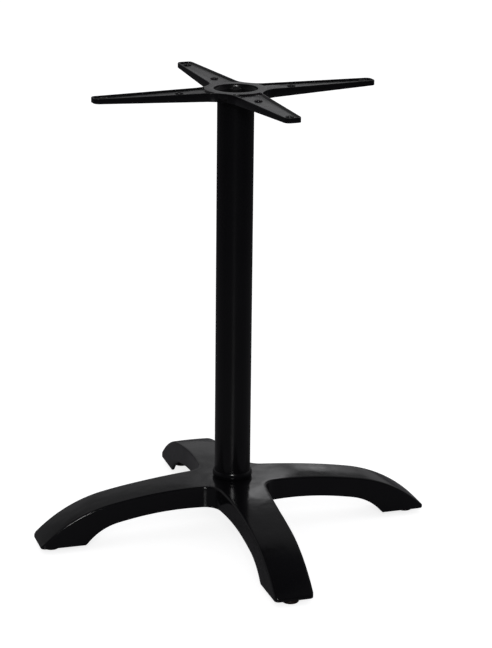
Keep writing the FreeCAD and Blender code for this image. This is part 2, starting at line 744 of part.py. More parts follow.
def check(doc, pieces):
    for item in doc.Objects:
        if "Invalid" in item.State or "Error" in item.State:
            raise RuntimeError(item.Name + " failed: " + ", ".join(item.State))
    for piece in pieces:
        shape = piece.Shape
        if shape.isNull() or not shape.isValid() or len(shape.Solids) != 1:
            raise RuntimeError(piece.Label + " is not one valid solid")


def main():
    doc = FreeCAD.newDocument("TableBase")
    size = SheetValues(make_sheet(doc))
    pieces = [base_casting(doc, size), column_tube(doc), column_collar(doc, size), top_spider(doc, size)]
    pieces += fastenings(doc, size)
    for quarter in QUARTERS:
        pieces += glide(doc, size, quarter)
    doc.recompute()
    check(doc, pieces)
    os.makedirs("parts", exist_ok=True)
    for piece in pieces:
        piece.Shape.exportStep("parts/" + piece.Label + ".step")
        box = piece.Shape.BoundBox
        print("%-22s %9.0f mm3  z %.1f to %.1f" % (piece.Label, piece.Shape.Volume, box.ZMin, box.ZMax))


main()
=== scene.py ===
import math

import bpy
import numpy as np
from mathutils import Matrix, Vector


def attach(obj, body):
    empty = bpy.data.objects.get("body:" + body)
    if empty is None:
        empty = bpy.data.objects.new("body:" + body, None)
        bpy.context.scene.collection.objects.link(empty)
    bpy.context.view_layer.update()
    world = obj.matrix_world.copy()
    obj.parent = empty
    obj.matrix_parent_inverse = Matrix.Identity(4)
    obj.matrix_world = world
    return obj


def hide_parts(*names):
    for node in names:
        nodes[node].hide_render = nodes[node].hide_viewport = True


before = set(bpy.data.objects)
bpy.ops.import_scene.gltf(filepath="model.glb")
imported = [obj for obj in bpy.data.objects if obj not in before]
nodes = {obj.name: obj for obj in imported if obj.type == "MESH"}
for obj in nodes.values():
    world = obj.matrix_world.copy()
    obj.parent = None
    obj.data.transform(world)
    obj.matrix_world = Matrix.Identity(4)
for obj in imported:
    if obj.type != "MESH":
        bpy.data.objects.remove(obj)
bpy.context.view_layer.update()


# Base casting: one grey-iron casting with four arched legs, hollow and open underneath. It is
# ground smooth on top and powder coated in satin-gloss black, which lies a little wavy over the
# cast skin. Inside are a thick hub for the tie rod, a rib down each leg and a boss in each foot.

MM = 0.001
LEG_REACH = 320.0
FOOT_LIFT = 10.0
TIP_HALF, MID_HALF, MID_REACH = 30.5, 32.0, 160.0
FLARE_RADIUS, CROTCH_RADIUS, TIP_CORNER = 900.0, 26.0, 7.0
CASTING_TOP, ARCH_HEIGHT = 91.0, 56.2
BACK = {"start": (35.0, CASTING_TOP), "end": (LEG_REACH, FOOT_LIFT + 4.3), "turn": 11.0, "short": 220.0}
ARCH = {"start": (65.7, ARCH_HEIGHT), "end": (LEG_REACH - 72.0, FOOT_LIFT), "turn": 12.0, "short": 89.0}
WALL, CROWN, EDGE_ROUND, LIP_ROUND = 4.5, 5.0, 3.0, 0.7
CROWN_RISE = 0.6
RIB_THICKNESS, RIB_DEPTH = 4.0, 14.0
GLIDE_REACH = LEG_REACH - 22.0
HUB_RADIUS, HUB_LOW, WELL_RADIUS, WELL_TOP, ROD_HOLE = 35.0, 56.2, 19.0, 75.0, 5.5
SPIGOT_OUTER, SPIGOT_INNER, SPIGOT_SEAT, SPIGOT_TOP = 26.85, 20.85, CASTING_TOP - 3.0, CASTING_TOP + 12.0
FOOT_BOSS, STUD_HOLE, STUD_HOLE_TOP = 11.0, 4.05, 24.5
QUARTERS = np.array([[1, 0], [0, 1], [-1, 0], [0, -1]])


def side_height(curve, reach, sink=0.0):
    """Height of a leg's side curve over its reach: level, then a long arc, then a tighter one that
    meets it without a kink and runs to the end point. Sunk, both arcs keep their centres."""
    (x0, z0), (x1, z1) = curve["start"], curve["end"]
    bend, short = math.radians(curve["turn"]), curve["short"]
    away = np.array([x1 - x0 + short * math.sin(bend), z1 - z0 + short * math.cos(bend)])
    growth = np.array([math.sin(bend), math.cos(bend) - 1.0])
    along, spread = away @ growth, growth @ growth
    long = (along - math.sqrt(along ** 2 - spread * (away @ away - short ** 2))) / spread
    far = np.array([x0 + (long - short) * math.sin(bend), z0 - long + (long - short) * math.cos(bend)])
    reach = np.abs(reach)
    on_long = z0 - long + np.sqrt((long - sink) ** 2 - np.maximum(reach - x0, 0.0) ** 2)
    on_short = far[1] + np.sqrt(np.maximum((short - sink) ** 2 - (reach - far[0]) ** 2, 0.0))
    return np.where(reach < x0 + (long - sink) * math.sin(bend), on_long, on_short)


def back_height(x, y, sink=0.0):
    """Top of the legs: the side curve over whichever of x and y is further out."""
    return side_height(BACK, np.maximum(np.abs(x), np.abs(y)), sink)


def ground_crown(x, y):
    """Rise of the ground top over the side curve: a parabola across each leg that starts beyond
    the hub, where the collar needs a flat."""
    far, near = np.maximum(np.abs(x), np.abs(y)), np.minimum(np.abs(x), np.abs(y))
    start = np.clip((far - 46.0) / 60.0, 0.0, 1.0)
    return CROWN_RISE * start ** 2 * (3.0 - 2.0 * start) * np.maximum(1.0 - (near / MID_HALF) ** 2, 0.0)


def lower_edge(x, y):
    """Lower edge of the legs' walls: the arch out to the heel, then the level foot."""
    far = np.maximum(np.abs(x), np.abs(y))
    return np.where(far < ARCH["end"][0], side_height(ARCH, np.minimum(far, ARCH["end"][0])), FOOT_LIFT)


def arc_points(centre, radius, start, end, count):
    """Points of an arc at equal angles, from one direction to another in degrees."""
    angle = np.radians(np.linspace(start, end, count))
    return np.stack([centre[0] + radius * np.cos(angle), centre[1] + radius * np.sin(angle)], 1)


def half_leg_plan():
    """Half a leg's outline from the diagonal to the middle of its tip, with outward normals: the
    round between two legs, the flare, the straight side, the tip's corner and half its end."""
    lean = math.atan2(MID_HALF - TIP_HALF, LEG_REACH - MID_REACH)
    flare = np.array([MID_REACH + FLARE_RADIUS * math.sin(lean), MID_HALF + FLARE_RADIUS * math.cos(lean)])
    total, product = flare.sum(), flare @ flare - (FLARE_RADIUS - CROTCH_RADIUS) ** 2
    middle = np.full(2, (total - math.sqrt(total ** 2 - 2.0 * product)) / 2.0)
    join = math.degrees(math.atan2(*(middle - flare)[::-1])) % 360.0
    straight = 270.0 - math.degrees(lean)
    corner_x = LEG_REACH - TIP_CORNER
    side_y = MID_HALF - (corner_x - MID_REACH) * math.tan(lean)
    corner = np.array([corner_x, side_y - TIP_CORNER / math.cos(lean)])
    crotch = arc_points(middle, CROTCH_RADIUS, 225.0, join, 16)
    flared = arc_points(flare, FLARE_RADIUS, join, straight, 28)
    rounded = arc_points(corner, TIP_CORNER, 90.0 - math.degrees(lean), 0.0, 9)
    side = np.linspace(flared[-1], rounded[0], 44)
    end = np.linspace(rounded[-1], [LEG_REACH, 0.0], 12)
    points = np.concatenate([crotch, flared[1:], side[1:], rounded[1:], end[1:]])
    outward = np.concatenate([
        (middle - crotch) / CROTCH_RADIUS,
        (flare - flared[1:]) / FLARE_RADIUS,
        np.tile([math.sin(lean), math.cos(lean)], (43, 1)),
        (rounded[1:] - corner) / TIP_CORNER,
        np.tile([1.0, 0.0], (11, 1)),
    ])
    return points, outward


def all_round(half):
    """A closed outline from half a leg's: out to the tip, back on the other side, four times."""
    leg = np.concatenate([half[::-1], half[1:, ::-1]])[:-1]
    turns = [leg]
    for _ in range(3):
        turns.append(np.stack([-turns[-1][:, 1], turns[-1][:, 0]], 1))
    return np.concatenate(turns)


def grid_faces(rows, columns, close_rows=False, close_columns=False):
    """Corner numbers of the quads of a grid of points, wrapped round where it is closed."""
    i = np.arange(rows if close_rows else rows - 1)
    j = np.arange(columns if close_columns else columns - 1)
    i, j = np.meshgrid(i, j, indexing="ij")
    k, l = (i + 1) % rows, (j + 1) % columns
    return np.stack([i * columns + j, k * columns + j, k * columns + l, i * columns + l], -1).reshape(-1, 4)


class Surface:
    """Collects grids of points in millimetres and makes one smooth mesh of them, in metres."""

    def __init__(self):
        self.points, self.quads, self.count = [], [], 0

    def grid(self, points, close_rows=False, close_columns=False, flip=False):
        rows, columns = points.shape[:2]
        faces = grid_faces(rows, columns, close_rows, close_columns) + self.count
        self.quads.append(faces[:, ::-1] if flip else faces)
        self.points.append(points.reshape(-1, 3))
        self.count += rows * columns
        return self

    def build(self, name, body, *replaced, sharp=35.0):
        points = np.concatenate(self.points) * MM
        quads = np.concatenate(self.quads)
        mesh = bpy.data.meshes.new(name)
        mesh.from_pydata(points, [], quads.tolist())
        mesh.validate()
        obj = bpy.data.objects.new(name, mesh)
        bpy.context.scene.collection.objects.link(obj)
        weld_and_smooth(obj, sharp)
        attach(obj, body)
        if replaced:
            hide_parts(*replaced)
        return obj


def weld_and_smooth(obj, sharp):
    """Merges points that coincide and shades smooth, apart from edges sharper than the angle."""
    for other in bpy.context.selected_objects:
        other.select_set(False)
    obj.select_set(True)
    bpy.context.view_layer.objects.active = obj
    bpy.ops.object.mode_set(mode="EDIT")
    bpy.ops.mesh.select_all(action="SELECT")
    bpy.ops.mesh.remove_doubles(threshold=2e-6)
    bpy.ops.mesh.dissolve_degenerate(threshold=1e-7)
    bpy.ops.object.mode_set(mode="OBJECT")
    bpy.ops.object.shade_smooth_by_angle(angle=math.radians(sharp))
    obj.select_set(False)


def turned_round(surface, profile, centre=(0.0, 0.0), steps=96):
    """A surface of revolution: a profile of radius and height, turned about an upright axis."""
    profile = np.asarray(profile, float)
    angle = np.linspace(0.0, 2.0 * np.pi, steps, endpoint=False)[:, None]
    radius, height = profile[None, :, 0], profile[None, :, 1]
    points = np.stack([centre[0] + radius * np.cos(angle), centre[1] + radius * np.sin(angle),
                       height + 0.0 * angle], -1)
    return surface.grid(points, close_rows=True, close_columns=True)


def casting_skin(surface):
    """Each point of the outline carries one section: in along the top from the leg's middle, over
    the rounded edge, down the wall, round the lip, up the inner wall and back under the crown."""
    half, out_half = half_leg_plan()
    plan, outward = all_round(half), all_round(out_half)
    # the line down a leg's middle that each section starts from: drawn to the hub's centre at one
    # end, and crowded together short of the tip at the other
    inner = half[:, 0] * np.clip((half[:, 0] - half[0, 0]) / 18.0, 0.0, 1.0)
    short = LEG_REACH - 24.0
    inner = np.where(half[:, 0] > short, short + (half[:, 0] - short) * 0.5, inner)
    inner[-12:] = np.linspace(inner[-12], inner[-12] + 3.0, 12)
    spine = all_round(np.stack([inner, np.zeros_like(inner)], 1))
    # fall of the top towards the wall, in the direction of the outline's normal
    step = 0.05
    edge_x, edge_y = plan[:, 0], plan[:, 1]
    top = back_height(edge_x, edge_y)
    rise = back_height(edge_x - step * outward[:, 0], edge_y - step * outward[:, 1]) - top
    slope = np.arctan(np.maximum(rise, 0.0) / step)
    centre = top + EDGE_ROUND * np.tan(slope) - EDGE_ROUND / np.cos(slope)
    low = lower_edge(edge_x, edge_y)
    inset, height = [], []
    for part in np.linspace(1.0, 0.0, 7):
        angle = (np.pi / 2.0 - slope) * part
        inset.append(EDGE_ROUND * (1.0 - np.cos(angle)))
        height.append(centre + EDGE_ROUND * np.sin(angle))
    # the wall, and a lip that is rounded a little on both sides
    wall_top, wall_low = centre, low + LIP_ROUND
    for part in np.linspace(0.0, 1.0, 6)[1:]:
        inset.append(np.zeros_like(low))
        height.append(wall_top + (np.minimum(wall_low, wall_top) - wall_top) * part)
    for angle in (30.0, 60.0, 90.0):
        turn = math.radians(angle)
        inset.append(np.full_like(low, LIP_ROUND * (1.0 - math.cos(turn))))
        height.append(low + LIP_ROUND * (1.0 - math.sin(turn)))
    for angle in (90.0, 45.0, 0.0):
        turn = math.radians(angle)
        inset.append(np.full_like(low, WALL - LIP_ROUND * (1.0 - math.cos(turn))))
        height.append(low + LIP_ROUND * (1.0 - math.sin(turn)))
    inset, height = np.stack(inset, 1), np.stack(height, 1)
    skin = plan[:, None, :] - outward[:, None, :] * inset[:, :, None]
    outer = np.concatenate([skin, height[:, :, None]], -1)
    # the top, from the middle line to the rounded edge
    share = np.linspace(0.0, 1.0, 9)[None, :, None]
    across = spine[:, None, :] * (1.0 - share) + skin[:, :1, :] * share
    rise = ground_crown(across[..., 0], across[..., 1]) * (1.0 - share[..., 0] ** 4)
    crown = np.concatenate([across, (back_height(across[..., 0], across[..., 1]) + rise)[..., None]], -1)
    # the inner wall and the underside of the crown
    lining = plan - outward * WALL
    ceiling = np.maximum(back_height(lining[:, 0], lining[:, 1], CROWN), low + LIP_ROUND + 0.05)
    rise = np.linspace(0.15, 1.0, 4)[None, :, None]
    start = np.broadcast_to(outer[:, -1:, :], (len(plan), 4, 3))
    end = np.concatenate([lining, ceiling[:, None]], 1)[:, None, :]
    inner_wall = start * (1.0 - rise) + end * rise
    share = np.linspace(0.0, 1.0, 7)[None, 1:, None]
    across = lining[:, None, :] * (1.0 - share) + spine[:, None, :] * share
    under = back_height(across[..., 0], across[..., 1], CROWN)[..., None]
    vault = np.concatenate([across, under], -1)
    surface.grid(np.concatenate([crown[:, :-1], outer, inner_wall, vault], 1), close_rows=True)


def casting_inside(surface):
    """The hub that the rod passes through, with the spigot for the tube on top of it, a rib along
    each pair of legs and a boss over each glide."""
    hub = [(ROD_HOLE, WELL_TOP), (WELL_RADIUS, WELL_TOP), (WELL_RADIUS, HUB_LOW + 0.8), (WELL_RADIUS + 0.6, HUB_LOW),
           (HUB_RADIUS - 0.6, HUB_LOW), (HUB_RADIUS, HUB_LOW + 0.8), (HUB_RADIUS, SPIGOT_SEAT),
           (SPIGOT_OUTER, SPIGOT_SEAT), (SPIGOT_OUTER, SPIGOT_TOP - 0.6), (SPIGOT_OUTER - 0.55, SPIGOT_TOP),
           (SPIGOT_INNER + 0.55, SPIGOT_TOP), (SPIGOT_INNER, SPIGOT_TOP - 0.6), (SPIGOT_INNER, CASTING_TOP),
           (ROD_HOLE, CASTING_TOP)]
    turned_round(surface, hub[::-1])
    reach = np.linspace(-LEG_REACH + 5.0, LEG_REACH - 5.0, 121)
    top, foot = side_height(BACK, reach, CROWN / 2.0), side_height(BACK, reach, CROWN + RIB_DEPTH)
    foot = np.maximum(foot, FOOT_LIFT + 2.0)
    for turn in (0, 1):
        half = RIB_THICKNESS / 2.0
        section = [(-half, top), (-half, foot), (half, foot), (half, top)]
        rib = np.stack([np.stack([reach, np.full_like(reach, y), z], -1) for y, z in section], 1)
        if turn:
            rib = np.stack([-rib[..., 1], rib[..., 0], rib[..., 2]], -1)
        surface.grid(rib, close_columns=True)
    angle = np.linspace(0.0, 2.0 * np.pi, 48, endpoint=False)
    boss = [(STUD_HOLE, STUD_HOLE_TOP), (STUD_HOLE, FOOT_LIFT + 0.4), (STUD_HOLE + 0.4, FOOT_LIFT),
            (FOOT_BOSS - 0.6, FOOT_LIFT), (FOOT_BOSS, FOOT_LIFT + 0.6), (FOOT_BOSS, 60.0)]
    for x, y in GLIDE_REACH * QUARTERS:
        rings = []
        for radius, height in boss:
            ring_x, ring_y = x + radius * np.cos(angle), y + radius * np.sin(angle)
            ring_z = np.minimum(height, back_height(ring_x, ring_y) - 2.5)
            rings.append(np.stack([ring_x, ring_y, ring_z], -1))
        surface.grid(np.stack(rings, 1), close_rows=True, flip=True)


class Wire:
    """A socket that sums: each operator adds the Math node for it."""

    def __init__(self, finish, socket):
        self.finish, self.socket = finish, socket

    def _sum(self, operation, *values):
        return self.finish.node("ShaderNodeMath", {"operation": operation}, dict(enumerate(values)))[0]

    def __add__(self, other):
        return self._sum("ADD", self, other)

    def __sub__(self, other):
        return self._sum("SUBTRACT", self, other)

    def __rsub__(self, other):
        return self._sum("SUBTRACT", other, self)

    def __mul__(self, other):
        return self._sum("MULTIPLY", self, other)

    def __truediv__(self, other):
        return self._sum("DIVIDE", self, other)

    __radd__, __rmul__ = __add__, __mul__


class Finish:
    """A material under construction. Its node method adds any node: settings first, then inputs."""

    def __init__(self, name):
        self.material = bpy.data.materials.new(name)
        self.material.use_nodes = True
        self.tree = self.material.node_tree
        self.tree.nodes.clear()
        self.place = self.node("ShaderNodeTexCoord")["Object"]

    def node(self, kind, settings=None, inputs=None):
        made = self.tree.nodes.new(kind)
        for key, value in (settings or {}).items():
            if key == "stops":
                ramp = made.color_ramp.elements
                while len(ramp) < len(value):
                    ramp.new(0.5)
                for stop, (position, colour) in zip(ramp, value):
                    stop.position, stop.color = position, colour
            else:
                setattr(made, key, value)
        for key, value in (inputs or {}).items():
            if isinstance(value, Wire):
                self.tree.links.new(value.socket, made.inputs[key])
            else:
                made.inputs[key].default_value = value
        return Outputs(self, made)

    def noise(self, scale, detail=2.0, roughness=0.5, squash=(1.0, 1.0, 1.0)):
        """Cloudy noise round 0.5, with its grain scale times to the metre."""
        place = self.node("ShaderNodeMapping", {}, {"Vector": self.place, "Scale": squash})["Vector"]
        return self.node("ShaderNodeTexNoise", {"noise_dimensions": "3D"},
                         {"Vector": place, "Scale": scale, "Detail": detail, "Roughness": roughness})["Fac"]

    def ramp(self, value, *stops):
        return self.node("ShaderNodeValToRGB", {"stops": stops}, {"Fac": value})["Color"]

    def bump(self, height, distance, under=None):
        """Relief from a height of 0 to 1, distance metres deep, on top of an earlier relief."""
        inputs = {"Height": height, "Distance": distance, "Strength": 1.0}
        if under is not None:
            inputs["Normal"] = under
        return self.node("ShaderNodeBump", {}, inputs)["Normal"]

    def end(self, **inputs):
        names = {key.replace("_", " "): value for key, value in inputs.items()}
        shader = self.node("ShaderNodeBsdfPrincipled", {}, names)["BSDF"]
        self.node("ShaderNodeOutputMaterial", {}, {"Surface": shader})
        return self.material


class Outputs:
    """The outputs of a node, by name or number, as wires."""

    def __init__(self, finish, made):
        self.finish, self.made = finish, made

    def __getitem__(self, key):
        return Wire(self.finish, self.made.outputs[key])


def powder_coat(name, tone, roughness, peel, skin, skin_scale, relief=None):
    """Black powder coat: a dark base with faint clouding, an orange peel a millimetre or two across
    and, under it, the slower unevenness of the metal, both given as depths in metres. Relief is a
    function of the material that gives a further height of the metal, in metres."""
    coat = Finish(name)
    colour = coat.ramp(coat.noise(9.0, 3.0), (0.3, (tone * 0.8, tone * 0.78, tone * 0.96, 1.0)),
                       (0.7, (tone * 1.2, tone * 1.16, tone * 1.42, 1.0)))
    grain = coat.noise(620.0, 1.0)
    rough = coat.noise(28.0, 4.0) * 0.1 + coat.noise(240.0, 2.0) * 0.05 + (roughness - 0.075)
    wavy = coat.bump(coat.noise(skin_scale, 2.0), skin)
    if relief:
        wavy = coat.bump(relief(coat), 1.0, wavy)
    return coat.end(Base_Color=colour, Roughness=rough, IOR=1.5, Normal=coat.bump(grain, peel, wavy))


def dress(obj, material):
    """Gives a piece or a CAD node its one material."""
    obj.data.materials.clear()
    obj.data.materials.append(material)
    obj.data.polygons.foreach_set("material_index", np.zeros(len(obj.data.polygons), np.int32))


casting = Surface()
casting_skin(casting)
casting_inside(casting)
casting = casting.build("star_foot_casting", "base", "base_casting", sharp=40.0)
dress(casting, powder_coat("casting_coat", tone=0.0028, roughness=0.14, peel=1.5e-5, skin=8e-4, skin_scale=21.0))


# Glides: a zinc-plated stud screwed into the boss of each foot, with a dark red-brown nylon pad
# moulded over its head. The pad's corners are rounded and its sides have a fine moulded grain.

PAD_RADIUS, PAD_TOP = 13.2, FOOT_LIFT - 0.5
STUD_RADIUS, STUD_FOOT, STUD_TOP = 4.0, 3.0, 23.0


def rounded_profile(corners, radii, steps=5):
    """A closed profile with each of its corners replaced by an arc of its own radius."""
    corners = np.asarray(corners, float)
    points = []
    for k, radius in enumerate(radii):
        here, before, after = corners[k], corners[k - 1], corners[(k + 1) % len(corners)]
        if radius == 0.0:
            points.append(here[None])
            continue
        a, b = before - here, after - here
        a, b = a / np.linalg.norm(a), b / np.linalg.norm(b)
        half = math.acos(np.clip(a @ b, -1.0, 1.0)) / 2.0
        centre = here + (a + b) / np.linalg.norm(a + b) * radius / math.sin(half)
        start, end = here + a * radius / math.tan(half) - centre, here + b * radius / math.tan(half) - centre
        turn = math.atan2(start[0] * end[1] - start[1] * end[0], start @ end)
        angle = np.linspace(0.0, turn, steps)[:, None]
        side = np.array([-start[1], start[0]])
        points.append(centre + start * np.cos(angle) + side * np.sin(angle))
    return np.concatenate(points)


def thread(surface, radius, depth, pitch, low, high, centre=(0.0, 0.0), around=40, chamfer=1.0):
    """A screw thread: the radius dips by a triangle wave of the height less the turn made, and
    fades into a plain chamfer at both ends."""
    angle = np.linspace(0.0, 2.0 * np.pi, around, endpoint=False)[:, None]
    height = np.linspace(low, high, int((high - low) / pitch * 8) + 1)[None, :]
    phase = (height / pitch - angle / (2.0 * np.pi)) % 1.0
    cut = depth * np.abs(2.0 * phase - 1.0)
    ends = np.maximum(np.maximum(low + chamfer - height, height - high + chamfer), 0.0)
    reach = np.minimum(radius - cut, radius - ends)
    side = np.stack([centre[0] + reach * np.cos(angle), centre[1] + reach * np.sin(angle),
                     height + 0.0 * angle], -1)
    for ring, flip in ((side[:, :1], True), (side[:, -1:], False)):
        hub = ring.copy()
        hub[..., 0], hub[..., 1] = centre
        surface.grid(np.concatenate([ring, hub], 1), close_rows=True, flip=flip)
    return surface.grid(side, close_rows=True)


def moulded_pad(name):
    """Nylon: dark red-brown, darker towards the bottom, with a fine sparked grain."""
    pad = Finish(name)
    height = pad.node("ShaderNodeSeparateXYZ", {}, {"Vector": pad.place})["Z"]
    # the pad's colour gets darker towards the bottom, nearer the floor
    darker_low = pad.noise(90.0, 4.0) * 0.5 + (0.5 - height * 50.0)
    colour = pad.ramp(darker_low, (0.15, (0.03, 0.012, 0.01, 1.0)), (0.85, (0.012, 0.008, 0.008, 1.0)))
    return pad.end(Base_Color=colour, Roughness=pad.noise(160.0, 3.0) * 0.2 + 0.32,
                   Normal=pad.bump(pad.noise(1400.0, 2.0), 3e-5))


def plated_steel(name, shade, roughness):
    """Zinc-plated steel gone dull: a grey metal with cloudy tarnish and fine tool marks."""
    steel = Finish(name)
    tarnish = steel.noise(70.0, 4.0)
    colour = steel.ramp(tarnish, (0.35, (shade, shade, shade * 0.97, 1.0)),
                        (0.7, (shade * 0.62, shade * 0.6, shade * 0.56, 1.0)))
    rough = tarnish * 0.25 + steel.noise(900.0, 2.0, squash=(1.0, 1.0, 6.0)) * 0.12 + (roughness - 0.18)
    return steel.end(Base_Color=colour, Roughness=rough, Metallic=1.0,
                     Normal=steel.bump(steel.noise(700.0, 2.0), 1.5e-5))


pad_finish = moulded_pad("pad_nylon")
zinc_finish = plated_steel("dull_zinc", 0.3, 0.38)
pad_section = rounded_profile(
    [(0.0, 1.0), (5.0, 1.0), (6.0, 0.0), (PAD_RADIUS, 0.0), (PAD_RADIUS, PAD_TOP),
     (STUD_RADIUS + 0.05, PAD_TOP), (STUD_RADIUS + 0.05, 6.0), (0.0, 6.0)],
    [0.0, 0.4, 0.4, 2.2, 0.9, 0.3, 0.0, 0.0])
stud_head = [(0.0, STUD_FOOT), (7.6, STUD_FOOT), (8.0, 3.4), (8.0, 5.1), (7.6, 5.5), (0.0, 5.5)]
for number, place in enumerate(GLIDE_REACH * QUARTERS, 1):
    body = "glide_%d" % number
    pad = turned_round(Surface(), pad_section, place)
    pad = pad.build("pad_%d" % number, body, "glide_pad_%d" % number)
    dress(pad, pad_finish)
    stud = Surface()
    thread(stud, STUD_RADIUS, 0.6, 1.25, 5.6, STUD_TOP, place)
    turned_round(stud, stud_head, place, steps=64)
    stud = stud.build("stud_%d" % number, body, "glide_stud_%d" % number)
    dress(stud, zinc_finish)


# Column: a welded steel tube, 57 mm across, cut square and powder coated before assembly. It is
# clamped between the two castings by the tie rod, and centred on a spigot at either end.

TUBE_RADIUS, TUBE_WALL = 28.5, 1.5
TUBE_LOW, TUBE_HIGH = CASTING_TOP, 706.4

tube = Surface()
rings = np.linspace(TUBE_LOW + 0.3, TUBE_HIGH - 0.3, 60)
outside = np.stack([np.full_like(rings, TUBE_RADIUS), rings], 1)
inside = np.stack([np.full_like(rings, TUBE_RADIUS - TUBE_WALL), rings[::-1]], 1)
rim_high = [(TUBE_RADIUS - 0.3, TUBE_HIGH), (TUBE_RADIUS - TUBE_WALL + 0.2, TUBE_HIGH)]
rim_low = [(TUBE_RADIUS - TUBE_WALL + 0.2, TUBE_LOW), (TUBE_RADIUS - 0.3, TUBE_LOW)]
turned_round(tube, np.concatenate([outside, rim_high, inside, rim_low]), steps=192)
tube = tube.build("column", "base", "column_tube")
dress(tube, powder_coat("tube_coat", tone=0.0024, roughness=0.2, peel=1e-5, skin=2e-4, skin_scale=14.0))


# Collar: a glossy black nylon ring that hides the joint between the tube and the casting. It is
# one moulding, slightly barrel shaped on the outside.

COLLAR_BORE = TUBE_RADIUS + 0.15
COLLAR_RIM, COLLAR_SWELL, COLLAR_HEIGHT = COLLAR_BORE + 1.3, 1.7, 12.0

collar_top = CASTING_TOP + COLLAR_HEIGHT
rise = np.linspace(-1.0, 1.0, 33)
barrel = np.stack([COLLAR_RIM + COLLAR_SWELL * (1.0 - rise ** 2),
                   CASTING_TOP + COLLAR_HEIGHT * (rise * 0.49 + 0.5)], 1)
bore = [(COLLAR_RIM - 0.3, collar_top), (COLLAR_BORE + 0.2, collar_top), (COLLAR_BORE, collar_top - 0.2),
        (COLLAR_BORE, CASTING_TOP), (COLLAR_RIM - 0.2, CASTING_TOP)]
collar = turned_round(Surface(), np.concatenate([barrel, bore]), steps=160)
collar = collar.build("collar", "base", "column_collar")
nylon = Finish("collar_nylon")
shade = nylon.ramp(nylon.noise(40.0, 3.0), (0.3, (0.0024, 0.0024, 0.003, 1.0)), (0.7, (0.0032, 0.0032, 0.0038, 1.0)))
dress(collar, nylon.end(
    Base_Color=shade, Roughness=nylon.noise(120.0, 3.0) * 0.08 + 0.14, IOR=1.35,
    Normal=nylon.bump(nylon.noise(60.0, 2.0), 2e-5)))


# Spider: one casting with a round hub and four tapering channel arms, each with a screw boss near
# the hub and one near the tip. It is coated in the same black, over a coarser skin than the foot.

SPIDER_TURN, BOSS_RADIUS, BOSS_REACHES = 4.35, 6.3, (91.5, 211.0)


def merged_copy(name, node, body, sharp):
    """A copy of a CAD node with its loose triangles joined, and its flat faces shaded flat."""
    copied = bpy.data.objects.new(name, nodes[node].data.copy())
    bpy.context.scene.collection.objects.link(copied)
    weld_and_smooth(copied, sharp)
    weighted = copied.modifiers.new("flat_faces", "WEIGHTED_NORMAL")
    weighted.keep_sharp = True
    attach(copied, body)
    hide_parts(node)
    return copied


def domed_bosses(coat):
    """The height in metres of the cast screw bosses: flat round the hole, then falling to the rim.
    It goes by the distance from the nearest boss, in the half arm that all four are folded into."""
    def of(operation, *values):
        return coat.node("ShaderNodeMath", {"operation": operation}, dict(enumerate(values)))["Value"]

    turned = coat.node("ShaderNodeMapping", {}, {
        "Vector": coat.place, "Rotation": (0.0, 0.0, -math.radians(SPIDER_TURN))})["Vector"]
    across = coat.node("ShaderNodeSeparateXYZ", {}, {"Vector": turned})
    one, other = of("ABSOLUTE", across["X"]), of("ABSOLUTE", across["Y"])
    along, aside = of("MAXIMUM", one, other), of("MINIMUM", one, other)
    near, far = ((along - reach * MM) * (along - reach * MM) + aside * aside for reach in BOSS_REACHES)
    centimetres = of("SQRT", of("MINIMUM", near, far)) * 100.0
    dome = coat.ramp(centimetres, (0.34, (1.0, 1.0, 1.0, 1.0)), (BOSS_RADIUS * 0.1, (0.0, 0.0, 0.0, 1.0)))
    return dome * 0.0014


spider = merged_copy("spider_casting", "top_spider", "base", sharp=50.0)
dress(spider, powder_coat("spider_coat", tone=0.0028, roughness=0.22, peel=3e-5, skin=2e-4, skin_scale=90.0,
                          relief=domed_bosses))


# Tie rod: a 10 mm steel bar down the middle of the column, threaded at both ends. A washer and a
# nut in the spider's recess and a washer, a spring washer and a nut in the foot's hub pull the
# column tight. They are blackened with the rest.

ROD_RADIUS, ROD_CORE, ROD_LOW, ROD_HIGH, THREAD_LENGTH = 5.0, 4.6, 59.3, 718.8, 30.0
NUT_ACROSS, NUT_BORE, NUT_HEIGHT = 17.0, 5.03, 8.0
WASHER_HOLE, WASHER_RADIUS, WASHER_THICKNESS = 5.5, 15.0, 2.5
SPRING_RADIUS, SPRING_LOW, SPRING_HIGH, SPRING_GAP = 9.0, 70.3, 72.5, 2.0


def black_oxide(name):
    """Oil-blackened steel: a dull black, rubbed a little brighter in patches, with fine tool marks."""
    black = Finish(name)
    rubbed = black.noise(160.0, 3.0)
    colour = black.ramp(rubbed, (0.4, (0.003, 0.003, 0.0034, 1.0)), (0.75, (0.009, 0.009, 0.01, 1.0)))
    rough = rubbed * -0.2 + black.noise(900.0, 2.0, squash=(1.0, 1.0, 6.0)) * 0.1 + 0.75
    return black.end(Base_Color=colour, Roughness=rough, IOR=1.3,
                     Normal=black.bump(black.noise(700.0, 2.0), 1.5e-5))


black_finish = black_oxide("blackened_steel")
rod = Surface()
thread(rod, ROD_RADIUS, 0.75, 1.5, ROD_LOW, ROD_LOW + THREAD_LENGTH, around=48)
thread(rod, ROD_RADIUS, 0.75, 1.5, ROD_HIGH - THREAD_LENGTH, ROD_HIGH, around=48)
plain_low, plain_high = ROD_LOW + THREAD_LENGTH - 1.0, ROD_HIGH - THREAD_LENGTH + 1.0
turned_round(rod, [(0.0, plain_low), (ROD_CORE, plain_low), (ROD_CORE, plain_high), (0.0, plain_high)], steps=48)
rod = rod.build("rod", "base", "tie_rod")
dress(rod, black_finish)


